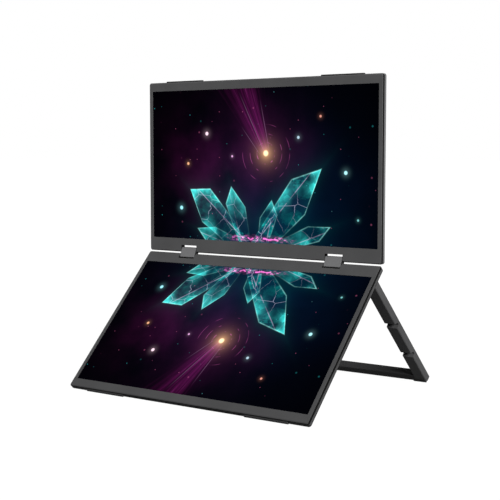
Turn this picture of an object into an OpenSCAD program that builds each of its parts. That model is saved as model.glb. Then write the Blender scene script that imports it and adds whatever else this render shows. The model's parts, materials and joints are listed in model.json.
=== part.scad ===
// Stacked double screen extender: two flat displays on double-axis hinges and a U-shaped kickstand.
// Millimetres, +X right, +Y back, +Z up. The desk is z = 0 and the origin is under the middle of the object.

/* [Screens] */
// Width of the picture area
active_w = 344.2; // [320:0.1:380]
// Height of the picture area
active_h = 193.6; // [180:0.1:220]
// Thickness of the screen glass
glass_thickness = 1; // [0.8:0.1:1.2]
// Thickness of the light-spreading sheets
sheet_thickness = 0.3; // [0.2:0.05:0.4]
// Thickness of the light guide
guide_thickness = 0.6; // [0.4:0.05:0.7]
// Thickness of the backlight tray's sheet metal
tray_thickness = 0.3; // [0.2:0.05:0.4]
// Glass beyond the picture at the sides
glass_side_margin = 2.4; // [1.5:0.1:2.4]
// Glass beyond the picture at the outer edge
glass_outer_margin = 2.6; // [1.5:0.1:4]
// Glass beyond the picture at the hinge edge, where the driver chips sit
glass_hinge_margin = 7.3; // [6:0.1:7.3]

/* [Housings] */
// Width of the bezel beside the picture
side_bezel = 6.2; // [4.6:0.1:8]
// Width of the bezel at the outer edge of a display
outer_bezel = 11.4; // [8:0.1:16]
// Width of the bezel at the hinge edge of a display
hinge_bezel = 17.9; // [17.9:0.1:24]
// Thickness of the upper display
upper_thickness = 7.2; // [7.1:0.1:10]
// Thickness of the lower display
lower_thickness = 8.6; // [8.4:0.1:11]
// Bevel round the front edge of the bezels
front_bevel = 1.2; // [0.6:0.1:1.3]
// Bevel round the rear edge of the upper cover
upper_rear_bevel = 0.8; // [0.4:0.1:1]
// Bevel round the rear edge of the lower cover
lower_rear_bevel = 2; // [1.4:0.1:2.2]
// Radius of the corners of a display, seen from the front
corner_radius = 3; // [2.5:0.1:6]
// Depth of the bezel frame at its rim
bezel_depth = 1.8; // [1.6:0.05:1.9]
// Thickness of the bezel where it lies over the glass
bezel_lip = 0.5; // [0.4:0.05:0.6]
// Side wall of the rear covers
cover_wall = 1.4; // [1.2:0.1:1.4]
// Back wall of the rear covers
cover_floor = 1.1; // [0.9:0.05:1.2]
// Visible seam between bezel and rear cover
seam = 0.15; // [0.1:0.05:0.2]
// Corners of the opening round the picture
window_radius = 0.6; // [0.3:0.1:1]

/* [Display hinges] */
// Distance of each hinge from the middle of the object
hinge_offset = 111.7; // [100:0.1:116]
// Width of a hinge block
block_w = 24.1; // [20:0.1:25]
// Thickness of a hinge block in front of its pins
block_front = 4; // [3:0.1:4.2]
// Thickness of a hinge block behind its pins
block_back = 2.6; // [2.3:0.1:2.8]
// Reach of a hinge block beyond its pins, up and down
block_reach = 3; // [2.7:0.1:3.2]
// Radius of the rounded ends of a hinge block
block_round = 1.2; // [0.8:0.1:1.6]
// Distance between the two pins of a hinge
axis_spacing = 8.7; // [8.6:0.05:9.2]
// Depth of a pin behind the front face
axis_depth = 3.8; // [3.7:0.05:3.85]
// Distance of a pin from the hinge edge
axis_inset = 2.6; // [2.5:0.05:2.7]
// Depth of the notch round a hinge block
notch_depth = 9; // [8:0.1:9]
// Space in the notch on either side of a hinge block
notch_side_gap = 0.5; // [0.3:0.05:0.8]
// Diameter of a hinge pin
pin_d = 2.4; // [2:0.05:2.6]
// Thickness of a bracket ear
ear_thickness = 1.2; // [1:0.1:1.4]
// Radius of the round end of a bracket ear
ear_radius = 1.8; // [1.6:0.05:1.85]
// Space between an ear and the wall of the notch
ear_gap = 0.2; // [0.15:0.05:0.4]
// Wall of the friction sleeve round a pin
sleeve_wall = 0.45; // [0.35:0.05:0.5]
// Length of a friction sleeve
sleeve_length = 19; // [12:0.5:19.5]
// Thickness of a bracket's base plate
bracket_plate = 1.6; // [1.4:0.1:1.8]
// Length of a bracket's base plate, away from the hinge edge
bracket_length = 20; // [18:0.5:24]
// Width of a bracket's base plate
bracket_w = 34; // [32:0.5:40]

/* [Stand] */
// Distance of the stand's pivot from the hinge edge of the lower display
pivot_inset = 12; // [9:0.1:13]
// Distance of a leg's outer face from the middle of the object
leg_outer_x = 168.1; // [164:0.1:170]
// Width of a leg
leg_w = 15.5; // [13:0.1:16.5]
// Thickness of the legs and the crossbar
leg_thickness = 10.4; // [9:0.1:11]
// Space between the folded stand and the back of the display
stand_gap = 0.8; // [0.7:0.05:1.2]
// Height of the crossbar between the legs
crossbar_h = 11.9; // [10:0.1:14]
// Distance by which the feet reach beyond the crossbar
foot_reach = 1.1; // [0.8:0.1:2]
// Bevel along the edges of the stand
stand_bevel = 0.8; // [0.4:0.1:1]
// Width of a notch across a leg, at the surface
leg_notch_w = 8; // [6:0.1:10]
// Depth of a notch across a leg
leg_notch_depth = 5.2; // [3:0.1:5.5]
// Distance of the upper notch from the end of the leg
upper_notch_place = 118.4; // [100:0.1:130]
// Distance of the lower notch from the end of the leg
lower_notch_place = 59; // [50:0.1:70]
// Diameter of the stand's pivot pins
stand_pin_d = 4; // [3.5:0.1:4.5]
// Wall of the bushing in a leg
bushing_wall = 0.8; // [0.6:0.1:0.9]
// Thickness of the lug that carries a pivot pin
lug_thickness = 3.5; // [3:0.1:4]
// Thickness of the friction washer between lug and leg
washer_thickness = 0.8; // [0.5:0.1:1]

/* [Rubber feet] */
// Length of a rubber foot on the edge of a display
foot_pad_length = 59.5; // [50:0.5:70]
// Distance of the middle of a rubber foot from the middle of the object
foot_pad_offset = 120.5; // [110:0.5:124]
// Height by which a rubber foot stands proud of the edge
foot_pad_proud = 1.5; // [1.2:0.1:2]
// Depth at which a rubber foot starts behind the front face
foot_pad_front = 2.6; // [2.4:0.1:3]
// Depth at which a rubber foot ends behind the front face
foot_pad_back = 6.2; // [6:0.1:6.3]
// Depth of the groove that holds a rubber foot
foot_pad_groove = 0.7; // [0.5:0.05:0.8]
// Height of rubber worn flat where a foot meets the desk
foot_flat = 0.4; // [0.3:0.05:0.5]

/* [Sockets and buttons] */
// Distance of the power button from the hinge edge
power_place = 52; // [50:0.5:54]
// Distance of the menu button from the hinge edge
menu_place = 66; // [64:0.5:68]
// Distance of the first USB-C socket from the hinge edge
usb_place = 86; // [84:0.5:88]
// Distance between the two USB-C sockets of the lower display
usb_pitch = 16; // [14:0.5:18]
// Distance of the mini HDMI socket from the hinge edge
hdmi_place = 121; // [119:0.5:123]
// Length of a button
button_length = 7; // [6:0.1:9]
// Thickness of a button
button_thickness = 2.4; // [2:0.1:2.6]
// Height by which a button stands proud of the cover
button_proud = 0.6; // [0.5:0.05:0.8]
// Travel of a button
button_travel = 0.35; // [0.25:0.05:0.4]
// Clearance round a button
button_gap = 0.2; // [0.15:0.05:0.3]

/* [Pose] */
// Slope of the lower display above the desk, in degrees
lower_tilt = 45.2; // [43:0.1:47]
// Slope of the upper display above the desk, in degrees
upper_tilt = 90; // [85:0.5:95]

/* [Hidden] */
$fn = 48;
EPS = 0.01;

// Clearances
slip = 0.05;
pin_fit = 0.02;
small_gap = 0.1;

// Outline of a display
display_w = active_w + 2 * side_bezel;
display_h = active_h + outer_bezel + hinge_bezel;
glass_w = active_w + 2 * glass_side_margin;
glass_v0 = hinge_bezel - glass_hinge_margin;
glass_v1 = hinge_bezel + active_h + glass_outer_margin;

// Depths behind the front face, from the glass back to the tray
glass_t = bezel_lip;
sheet_t = glass_t + glass_thickness;
guide_t = sheet_t + sheet_thickness;
tray_t = guide_t + guide_thickness;
tray_back_t = tray_t + tray_thickness;
tray_rim = 0.5;
led_w = 1.6;

// Hinge
notch_w = block_w + 2 * notch_side_gap;
ear_x = notch_w / 2 + cover_wall + ear_gap + ear_thickness / 2;
sleeve_r = pin_d / 2 + slip + sleeve_wall;
bracket_v0 = notch_depth + cover_wall + 0.3;
bracket_web = 1.9;
arm_front_t = tray_back_t + 2 * small_gap;
screw_d = 2;
screw_head_d = 4;
screw_head_h = 1;
screw_recess = 0.9;
screw_cross = 2.2;
screw_slot = 0.5;
hinge_screw_x = 10;
hinge_screw_inset = 5;
hinge_screw_pitch = 10;

// Stand
leg_half = leg_thickness / 2;
pivot_t = lower_thickness + stand_gap + leg_half;
leg_inner_x = leg_outer_x - leg_w;
lug_outer_x = leg_inner_x - washer_thickness - 2 * small_gap;
lug_inner_x = lug_outer_x - lug_thickness;
lug_plate = 1.2;
lug_plate_w = 26;
lug_plate_v0 = 3;
lug_plate_v1 = 24;
boss_h = 3;
boss_r = 2.6;
boss_end = 0.5;
stand_screw_v = [8, 19];
stand_head_r = 3.6;
stand_head_h = 1.2;
notch_slope = 3;
notch_wall_lean = 0.9;
rivet_h = 0.8;
rivet_rim = 0.8;
bushing_r = stand_pin_d / 2 + slip + bushing_wall;
stand_pad_rise = 6.4;
stand_pad_depth = 3;
stand_pad_proud = 0.4;
stand_pad_reach = 3.4;
pad_seat = 1;
pad_end = 1.2;
pad_bevel = 0.5;

// Speakers and their slots
speaker_w = 44;
speaker_h = 15;
speaker_depth = 3.4;
speaker_x = 112;
speaker_v = 172;
speaker_slots = 9;
vent_slots = 13;
slot_pitch = 4;
slot_w = 1.2;
slot_length = 9;
vent_v = 150;

// Driver board
board_w = 76;
board_v0 = 44;
board_v1 = 130;
board_thickness = 0.8;
board_gap = 0.5;
usb_w = 8.94;
usb_h = 3.2;
usb_depth = 7.3;
hdmi_w = 11.2;
hdmi_h = 3.2;
hdmi_depth = 7.5;
hdmi_cut = 1.4;
socket_wall = 0.3;
socket_inset = 0.3;
socket_gap = 0.15;
lower_usb_places = [usb_place, usb_place + usb_pitch];
upper_usb_places = [usb_place];
ribbon_w = 22;
ribbon_thickness = 0.2;
ribbon_v0 = 14;
ribbon_x = 44;
ribbon_overlap = 5;
plug_w = 26;
plug_l = 4;
chips = [[24, 16, 16, 16], [50, 40, 10, 10], [26, 56, 12, 8]];
chip_h = 0.8;
coil_count = 6;
coil_x = 46;
coil_v = 70;
coil_w = 2;
switch_w = 4;
switch_h = 2.4;
switch_depth = 3;
tongue_half = 0.35;
tongue_inset = 1;
tongue_space = 1.4;
button_flange = 0.8;
button_flange_reach = 1;
button_stem_half = [0.8, 1.5];
button_stem = 3;
switch_gap = 0.3;

// Places of the object in the frame
function sloped(angle, along, depth) =
  [0, along * cos(angle) + depth * sin(angle), along * sin(angle) - depth * cos(angle)];
foot_corner_drop = foot_pad_proud * sin(lower_tilt) + foot_pad_back * cos(lower_tilt);
lower_edge_z = foot_corner_drop - foot_flat;
stand_top_z = lower_edge_z + (display_h - pivot_inset) * sin(lower_tilt) - pivot_t * cos(lower_tilt);
leg_length = (stand_top_z + foot_flat - (leg_half + stand_pad_proud) * sin(lower_tilt)) / cos(lower_tilt);
stand_back_y = (display_h - pivot_inset + leg_half) * cos(lower_tilt)
  + (pivot_t + leg_length) * sin(lower_tilt);
front_y = front_bevel * min(cos(lower_tilt), sin(lower_tilt));
lower_origin = [0, -(stand_back_y + front_y) / 2, lower_edge_z];
lower_hinge_edge = lower_origin + sloped(lower_tilt, display_h, 0);
lower_axis = lower_hinge_edge + sloped(lower_tilt, -axis_inset, axis_depth);
link_tilt = (lower_tilt + upper_tilt) / 2;
upper_axis = lower_axis + sloped(link_tilt, axis_spacing, 0);
upper_hinge_edge = upper_axis - sloped(upper_tilt, axis_inset, axis_depth);

// Display space: x across, y the depth t behind the front face, z the distance v from the hinge edge.
module on_upper() {
  translate(upper_hinge_edge) rotate([upper_tilt - 90, 0, 0]) children();
}
module on_lower() {
  translate(lower_hinge_edge) rotate([lower_tilt - 90, 0, 0]) mirror([0, 0, 1]) children();
}
module both_sides(x) {
  for (side = [-1, 1]) translate([side * x, 0, 0]) children();
}

// Plate parallel to the screen, with round corners
module plate(w, v0, v1, t0, t1, r) {
  translate([0, t1, (v0 + v1) / 2]) rotate([90, 0, 0]) linear_extrude(t1 - t0) round_rect(w, v1 - v0, r);
}
module round_rect(w, h, r) {
  union() {
    square([w - 2 * r, h], center = true);
    square([w, h - 2 * r], center = true);
    for (x = [-1, 1], y = [-1, 1]) translate([x * (w / 2 - r), y * (h / 2 - r)]) circle(r);
  }
}
// Plain block given by its lowest and highest corner
module block(low, high) {
  translate(low) cube(high - low);
}
// Round bar along x, along t or along v
module bar_x(r, length) {
  rotate([0, 90, 0]) cylinder(r = r, h = length, center = true);
}
module bar_t(r, t0, t1) {
  translate([0, t1, 0]) rotate([90, 0, 0]) cylinder(r = r, h = t1 - t0);
}
// Profile in depth t and distance v, extruded along x
module profile_x(points, x0, x1) {
  translate([x0, 0, 0]) rotate([90, 0, 90]) linear_extrude(x1 - x0) polygon(points);
}
module hinge_notches(t0, t1, extra) {
  both_sides(hinge_offset)
    block([-notch_w / 2 - extra, t0, -1], [notch_w / 2 + extra, t1, notch_depth + extra]);
}

// Bezel: a flat frame with a bevelled rim, rebated behind for the glass
module bezel() {
  difference() {
    hull() {
      plate(display_w - 2 * front_bevel, front_bevel, display_h - front_bevel, 0, EPS,
        corner_radius - front_bevel);
      plate(display_w, 0, display_h, front_bevel, bezel_depth, corner_radius);
    }
    plate(active_w, hinge_bezel, hinge_bezel + active_h, -1, bezel_depth + 1, window_radius);
    block([-glass_w / 2 - slip, bezel_lip, glass_v0 - slip],
      [glass_w / 2 + slip, bezel_depth + 1, glass_v1 + slip]);
    hinge_notches(-1, bezel_depth + 1, 0);
  }
}

// Rear cover: a tray whose rim meets the bezel at the seam
module cover_body(thickness, rear_bevel) {
  rim_t = bezel_depth + seam;
  difference() {
    hull() {
      plate(display_w, 0, display_h, rim_t, thickness - rear_bevel, corner_radius);
      plate(display_w - 2 * rear_bevel, rear_bevel, display_h - rear_bevel, thickness - EPS, thickness,
        corner_radius - min(rear_bevel, corner_radius - 0.5));
    }
    difference() {
      plate(display_w - 2 * cover_wall, cover_wall, display_h - cover_wall,
        rim_t - 1, thickness - cover_floor, corner_radius - cover_wall);
      hinge_notches(rim_t - 2, thickness, cover_wall);
    }
    hinge_notches(-1, thickness + 1, 0);
    at_hinges() both_sides(ear_x) ear_pocket();
    at_hinges() bar_x(pin_d / 2 + small_gap, 2 * ear_x);
    both_sides(foot_pad_offset) foot_groove();
  }
}
// The two pin axes of a display
module at_hinges() {
  both_sides(hinge_offset) translate([0, axis_depth, axis_inset]) children();
}
// Recess in the edge wall round a bracket ear
module ear_pocket() {
  half = ear_thickness / 2 + small_gap;
  reach = ear_radius + small_gap;
  block([-half, -axis_depth, -reach], [half, reach, cover_wall]);
}
module foot_groove() {
  half = foot_pad_length / 2;
  block([-half, foot_pad_front, display_h - foot_pad_groove], [half, foot_pad_back, display_h + 1]);
}

// Countersunk screws of one hinge bracket, seen from the back face
module hinge_screw_places() {
  for (x = [-1, 1], row = [0, 1])
    translate([x * hinge_screw_x, 0, bracket_v0 + hinge_screw_inset + row * hinge_screw_pitch]) children();
}
module countersunk_hole(back_t, depth) {
  bar_t(screw_d / 2 + slip, back_t - depth, back_t + 1);
  translate([0, back_t + EPS, 0]) rotate([90, 0, 0])
    cylinder(r1 = screw_head_d / 2 + slip, r2 = screw_d / 2 + slip, h = screw_head_h);
}
module countersunk_screw(back_t, length) {
  face_t = back_t - small_gap;
  difference() {
    union() {
      bar_t(screw_d / 2, back_t - length, face_t);
      translate([0, face_t, 0]) rotate([90, 0, 0])
        cylinder(r1 = screw_head_d / 2 - small_gap, r2 = screw_d / 2, h = screw_head_h - small_gap);
    }
    for (turn = [0, 90]) translate([0, face_t, 0]) rotate([0, turn, 0])
      cube([screw_cross, 2 * screw_recess, screw_slot], center = true);
  }
}
module hinge_screws(thickness) {
  both_sides(hinge_offset) hinge_screw_places()
    countersunk_screw(thickness, cover_floor + bracket_plate - small_gap);
}

// Openings for sockets and buttons in the left wall
module left_wall_hole(place, middle_t, w, h) {
  translate([-display_w / 2 - 1, middle_t, place]) side_slot(w, h, cover_wall + 2);
}
// Round-ended bar that runs along x, long way up the display
module side_slot(w, h, length) {
  rotate([90, 0, 90]) linear_extrude(length) {
    square([h, w - h], center = true);
    for (end = [-1, 1]) translate([0, end * (w - h) / 2]) circle(h / 2);
  }
}
function socket_t(thickness) = (tray_back_t + thickness - cover_floor) / 2;
module wall_openings(thickness, usb_places) {
  middle = socket_t(thickness);
  for (place = usb_places) left_wall_hole(place, middle, usb_w + 2 * socket_gap, usb_h + 2 * socket_gap);
  translate([-display_w / 2 - 1, middle, hdmi_place]) hdmi_bar(-socket_gap, cover_wall + 2);
  for (place = [power_place, menu_place])
    left_wall_hole(place, middle, button_length + 2 * button_gap, button_thickness + 2 * button_gap);
}
module slot_row(count, v, thickness) {
  t0 = thickness - cover_floor - 1;
  for (i = [0 : count - 1]) translate([(i - (count - 1) / 2) * slot_pitch, 0, v])
    block([-slot_w / 2, t0, -slot_length / 2], [slot_w / 2, thickness + 1, slot_length / 2]);
}

module rear_cover(thickness, rear_bevel, usb_places) {
  difference() {
    cover_body(thickness, rear_bevel);
    both_sides(hinge_offset) hinge_screw_places() countersunk_hole(thickness, cover_floor + 1);
    wall_openings(thickness, usb_places);
    slot_row(vent_slots, vent_v, thickness);
  }
}

// The layers of a screen, from the glass back
module screen_panel() {
  block([-glass_w / 2, glass_t, glass_v0], [glass_w / 2, sheet_t, glass_v1]);
}
module light_sheets() {
  half = glass_w / 2 - tray_rim - small_gap;
  block([-half, sheet_t, glass_v0 + tray_rim + small_gap], [half, guide_t, glass_v1 - tray_rim - small_gap]);
}
module light_guide() {
  half = glass_w / 2 - tray_rim - small_gap;
  v0 = glass_v0 + tray_rim + led_w + 3 * small_gap;
  block([-half, guide_t, v0], [half, tray_t, glass_v1 - tray_rim - small_gap]);
}
module led_strip() {
  half = glass_w / 2 - tray_rim - 1;
  v0 = glass_v0 + tray_rim + small_gap;
  block([-half, guide_t, v0], [half, tray_t, v0 + led_w]);
}
module backlight_tray() {
  difference() {
    block([-glass_w / 2, sheet_t, glass_v0], [glass_w / 2, tray_back_t, glass_v1]);
    block([-glass_w / 2 + tray_rim, sheet_t - 1, glass_v0 + tray_rim],
      [glass_w / 2 - tray_rim, tray_t, glass_v1 - tray_rim]);
  }
}

// Driver board with its chips, connectors and the two key switches
module driver_board(thickness, usb_places) {
  middle = socket_t(thickness);
  left = -display_w / 2 + cover_wall + board_gap;
  front = middle - board_thickness / 2;
  difference() {
    union() {
      block([left, front, board_v0], [left + board_w, front + board_thickness, board_v1]);
      for (chip = chips) translate([left + chip[0], front - chip_h, board_v0 + chip[1]])
        cube([chip[2], chip_h, chip[3]]);
      for (i = [0 : coil_count - 1])
        translate([left + coil_x + 2 * coil_w * i, front - chip_h, board_v0 + coil_v])
          cube([coil_w, chip_h, 2 * coil_w]);
      translate([left + ribbon_x, 0, board_v0 + ribbon_overlap])
        block([-plug_w / 2, tray_back_t + ribbon_thickness + slip, -plug_l], [plug_w / 2, front, 0]);
      for (place = [power_place, menu_place]) key_switch(place, left, middle);
    }
    for (place = usb_places) socket_recess(place, usb_w, usb_depth, left);
    socket_recess(hdmi_place, hdmi_w, hdmi_depth, left);
    for (place = [power_place, menu_place]) button_recess(place, left);
  }
}
module socket_recess(place, w, depth, left) {
  reach = -display_w / 2 + socket_inset + depth + small_gap;
  block([left - 1, 0, place - w / 2 - small_gap], [reach, lower_thickness, place + w / 2 + small_gap]);
}
module button_recess(place, left) {
  reach = -display_w / 2 + cover_wall + button_stem + switch_gap + button_travel;
  half = button_length / 2 + button_flange_reach + 2 * button_gap;
  block([left - 1, 0, place - half], [reach, lower_thickness, place + half]);
}
module key_switch(place, left, middle) {
  face = -display_w / 2 + cover_wall + button_stem + switch_gap + button_travel;
  half = [0, switch_h / 2, switch_w / 2];
  block([face, middle, place] - half, [face + switch_depth, middle, place] + half);
}
module flat_cable() {
  left = -display_w / 2 + cover_wall + board_gap;
  block([left + ribbon_x - ribbon_w / 2, tray_back_t, ribbon_v0],
    [left + ribbon_x + ribbon_w / 2, tray_back_t + ribbon_thickness, board_v0 + ribbon_overlap]);
}

// Sockets: open metal shells with a tongue inside, held by the closed end
module tongue(w, depth) {
  half = w / 2 - tongue_space;
  block([tongue_inset, -tongue_half, -half], [depth - socket_wall, tongue_half, half]);
}
module usb_socket(thickness, place) {
  translate([-display_w / 2 + socket_inset, socket_t(thickness), place]) {
    difference() {
      side_slot(usb_w, usb_h, usb_depth);
      translate([-1, 0, 0]) side_slot(usb_w - 2 * socket_wall, usb_h - 2 * socket_wall, usb_depth);
    }
    tongue(usb_w, usb_depth);
  }
}
// Bar along x with the mini HDMI outline, narrower by the inset all round
module hdmi_bar(inset, length) {
  w = hdmi_w / 2 - inset;
  h = hdmi_h / 2 - inset;
  step = hdmi_h / 8;
  rotate([90, 0, 90]) linear_extrude(length)
    polygon([[-h, -w], [step, -w], [h, -w + hdmi_cut], [h, w - hdmi_cut], [step, w], [-h, w]]);
}
module hdmi_socket(thickness) {
  translate([-display_w / 2 + socket_inset, socket_t(thickness), hdmi_place]) {
    difference() {
      hdmi_bar(0, hdmi_depth);
      translate([-1, 0, 0]) hdmi_bar(socket_wall, hdmi_depth);
    }
    tongue(hdmi_w, hdmi_depth);
  }
}

// Button: a round-ended key, a flange behind the wall and a stem towards its switch
module button(thickness, place) {
  wall_x = -display_w / 2;
  inner_x = wall_x + cover_wall + button_gap;
  stem_end = wall_x + cover_wall + button_stem;
  translate([0, socket_t(thickness), place]) {
    translate([wall_x - button_proud, 0, 0])
      side_slot(button_length, button_thickness, cover_wall + button_proud + button_gap);
    block([inner_x, -button_thickness / 2, -button_length / 2 - button_flange_reach],
      [inner_x + button_flange, button_thickness / 2, button_length / 2 + button_flange_reach]);
    block([inner_x, -button_stem_half[0], -button_stem_half[1]],
      [stem_end, button_stem_half[0], button_stem_half[1]]);
  }
}

// Steel bracket of one hinge: two ears on a base plate, reaching round the notch
module hinge_bracket(thickness) {
  back = thickness - cover_floor - axis_depth;
  start = bracket_v0 - axis_inset;
  difference() {
    union() {
      both_sides(ear_x) {
        bar_x(ear_radius, ear_thickness);
        ear_arm(back, start);
      }
      block([-bracket_w / 2, back - bracket_plate, start], [bracket_w / 2, back, start + bracket_length]);
    }
    bar_x(pin_d / 2 + pin_fit, 2 * bracket_w);
    translate([0, -axis_depth, -axis_inset]) hinge_screw_places() bar_t(screw_d / 2 + slip, 0, 20);
  }
}
module ear_arm(back, start) {
  half = ear_thickness / 2;
  front = arm_front_t - axis_depth;
  block([-half, front, 0], [half, ear_radius, start + bracket_web]);
  block([-half, front, start], [half, back, start + bracket_web]);
}
module hinge_brackets(thickness) {
  at_hinges() hinge_bracket(thickness);
}
module hinge_pins() {
  at_hinges() bar_x(pin_d / 2, 2 * ear_x + ear_thickness);
}

// Rubber foot let into the outer edge, flat where it would meet the desk
module rubber_feet() {
  drop = foot_flat / cos(lower_tilt);
  rise = foot_flat / sin(lower_tilt);
  top = display_h + foot_pad_proud;
  both_sides(foot_pad_offset)
    profile_x([[foot_pad_front, display_h - foot_pad_groove], [foot_pad_front, top - 0.5],
      [foot_pad_front + 0.5, top], [foot_pad_back - drop, top], [foot_pad_back, top - rise],
      [foot_pad_back, display_h - foot_pad_groove]], -foot_pad_length / 2, foot_pad_length / 2);
}

// Lower display
module lower_bezel() { color([0.17, 0.17, 0.18]) on_lower() bezel(); }
module lower_screen_panel() { color([0.03, 0.04, 0.08]) on_lower() screen_panel(); }
module lower_light_sheets() { color([0.92, 0.92, 0.9]) on_lower() light_sheets(); }
module lower_light_guide() { color([0.8, 0.88, 0.92]) on_lower() light_guide(); }
module lower_led_strip() { color([0.95, 0.9, 0.6]) on_lower() led_strip(); }
module lower_backlight_tray() { color([0.7, 0.71, 0.73]) on_lower() backlight_tray(); }
module lower_rear_cover() {
  boss_t = lower_thickness - cover_floor - boss_h;
  color([0.2, 0.2, 0.21]) on_lower() difference() {
    union() {
      rear_cover(lower_thickness, lower_rear_bevel, lower_usb_places);
      stand_screw_places() bar_t(boss_r, boss_t, lower_thickness - cover_floor / 2);
    }
    stand_screw_places() bar_t(screw_d / 2 + slip, boss_t + boss_end, lower_thickness + 1);
    both_sides(speaker_x) slot_row(speaker_slots, speaker_v, lower_thickness);
  }
}
module lower_driver_board() {
  color([0.05, 0.3, 0.18]) on_lower() driver_board(lower_thickness, lower_usb_places);
}
module lower_usb_c_sockets() {
  color([0.72, 0.73, 0.75]) on_lower() for (place = lower_usb_places) usb_socket(lower_thickness, place);
}
module lower_mini_hdmi_socket() { color([0.72, 0.73, 0.75]) on_lower() hdmi_socket(lower_thickness); }
module lower_flat_cable() { color([0.85, 0.5, 0.15]) on_lower() flat_cable(); }
module lower_hinge_brackets() { color([0.45, 0.45, 0.47]) on_lower() hinge_brackets(lower_thickness); }
module lower_hinge_pins() { color([0.6, 0.6, 0.62]) on_lower() hinge_pins(); }
module lower_hinge_screws() { color([0.15, 0.15, 0.16]) on_lower() hinge_screws(lower_thickness); }
module lower_rubber_feet() { color([0.06, 0.06, 0.06]) on_lower() rubber_feet(); }
module lower_power_button() { color([0.14, 0.14, 0.15]) on_lower() button(lower_thickness, power_place); }
module lower_menu_button() { color([0.14, 0.14, 0.15]) on_lower() button(lower_thickness, menu_place); }
module speakers() {
  back = lower_thickness - cover_floor;
  color([0.1, 0.1, 0.1]) on_lower() both_sides(speaker_x)
    block([-speaker_w / 2, back - speaker_depth, speaker_v - speaker_h / 2],
      [speaker_w / 2, back, speaker_v + speaker_h / 2]);
}

// Stand bracket: a screwed plate with the lug that carries the pivot pin
module stand_screw_places() {
  for (side = [-1, 1], v = stand_screw_v)
    translate([side * (lug_inner_x - lug_plate_w / 2 + 2), 0, v]) children();
}
module stand_lug() {
  plate_back = lower_thickness + lug_plate;
  block([lug_outer_x - lug_plate_w, lower_thickness, lug_plate_v0],
    [lug_outer_x, plate_back, lug_plate_v1]);
  translate([(lug_inner_x + lug_outer_x) / 2, pivot_t, pivot_inset]) bar_x(leg_half, lug_thickness);
  block([lug_inner_x, lower_thickness, pivot_inset - leg_half],
    [lug_outer_x, pivot_t, pivot_inset + leg_half]);
}
module stand_brackets() {
  color([0.3, 0.3, 0.31]) on_lower() difference() {
    for (side = [0, 1]) mirror([side, 0, 0]) stand_lug();
    translate([0, pivot_t, pivot_inset]) bar_x(stand_pin_d / 2 + pin_fit, 2 * leg_outer_x);
    stand_screw_places() countersunk_hole(lower_thickness + lug_plate, lug_plate + 1);
  }
}
module stand_bracket_screws() {
  color([0.15, 0.15, 0.16]) on_lower() stand_screw_places()
    countersunk_screw(lower_thickness + lug_plate, lug_plate + cover_floor + boss_h - 1);
}
module stand_pivot_pins() {
  inner = lug_inner_x;
  outer = leg_outer_x - stand_head_h - 2 * small_gap;
  color([0.55, 0.55, 0.57]) on_lower() translate([0, pivot_t, pivot_inset]) both_mirrored() {
    translate([(inner + outer) / 2, 0, 0]) bar_x(stand_pin_d / 2, outer - inner);
    translate([outer + stand_head_h / 2, 0, 0]) bar_x(stand_head_r, stand_head_h);
    translate([inner - rivet_h / 2, 0, 0]) bar_x(stand_pin_d / 2 + rivet_rim, rivet_h);
  }
}
module both_mirrored() {
  for (side = [0, 1]) mirror([side, 0, 0]) children();
}

// Double-axis hinge blocks
module on_link() {
  translate((lower_axis + upper_axis) / 2) rotate([link_tilt - 90, 0, 0]) children();
}
module hinge_blocks() {
  half = axis_spacing / 2;
  length = 2 * (half + block_reach);
  color([0.42, 0.42, 0.43]) on_link() both_sides(hinge_offset) difference() {
    translate([-block_w / 2, (block_back - block_front) / 2, 0]) rotate([90, 0, 90]) linear_extrude(block_w)
      round_rect(block_front + block_back, length, block_round);
    for (end = [-1, 1]) translate([0, 0, end * half]) {
      bar_x(sleeve_r + pin_fit, sleeve_length + small_gap);
      bar_x(pin_d / 2 + slip, block_w + 2);
    }
  }
}
module hinge_friction_sleeves() {
  color([0.72, 0.55, 0.3]) on_link() both_sides(hinge_offset) for (end = [-1, 1])
    translate([0, 0, end * axis_spacing / 2]) difference() {
      bar_x(sleeve_r, sleeve_length);
      bar_x(pin_d / 2 + slip, sleeve_length + 2);
    }
}

// Upper display
module upper_bezel() { color([0.2, 0.2, 0.21]) on_upper() bezel(); }
module upper_screen_panel() { color([0.03, 0.04, 0.08]) on_upper() screen_panel(); }
module upper_light_sheets() { color([0.92, 0.92, 0.9]) on_upper() light_sheets(); }
module upper_light_guide() { color([0.8, 0.88, 0.92]) on_upper() light_guide(); }
module upper_led_strip() { color([0.95, 0.9, 0.6]) on_upper() led_strip(); }
module upper_backlight_tray() { color([0.7, 0.71, 0.73]) on_upper() backlight_tray(); }
module upper_rear_cover() {
  color([0.2, 0.2, 0.21]) on_upper() rear_cover(upper_thickness, upper_rear_bevel, upper_usb_places);
}
module upper_driver_board() {
  color([0.05, 0.3, 0.18]) on_upper() driver_board(upper_thickness, upper_usb_places);
}
module upper_usb_c_socket() { color([0.72, 0.73, 0.75]) on_upper() usb_socket(upper_thickness, usb_place); }
module upper_mini_hdmi_socket() { color([0.72, 0.73, 0.75]) on_upper() hdmi_socket(upper_thickness); }
module upper_flat_cable() { color([0.85, 0.5, 0.15]) on_upper() flat_cable(); }
module upper_hinge_brackets() { color([0.45, 0.45, 0.47]) on_upper() hinge_brackets(upper_thickness); }
module upper_hinge_pins() { color([0.6, 0.6, 0.62]) on_upper() hinge_pins(); }
module upper_hinge_screws() { color([0.15, 0.15, 0.16]) on_upper() hinge_screws(upper_thickness); }
module upper_rubber_feet() { color([0.06, 0.06, 0.06]) on_upper() rubber_feet(); }
module upper_power_button() { color([0.14, 0.14, 0.15]) on_upper() button(upper_thickness, power_place); }
module upper_menu_button() { color([0.14, 0.14, 0.15]) on_upper() button(upper_thickness, menu_place); }

// Stand space: x across, y the distance s from the pivot along a leg, z towards the lower edge of the display
module on_stand() {
  on_lower() translate([0, pivot_t, pivot_inset]) children();
}
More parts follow.
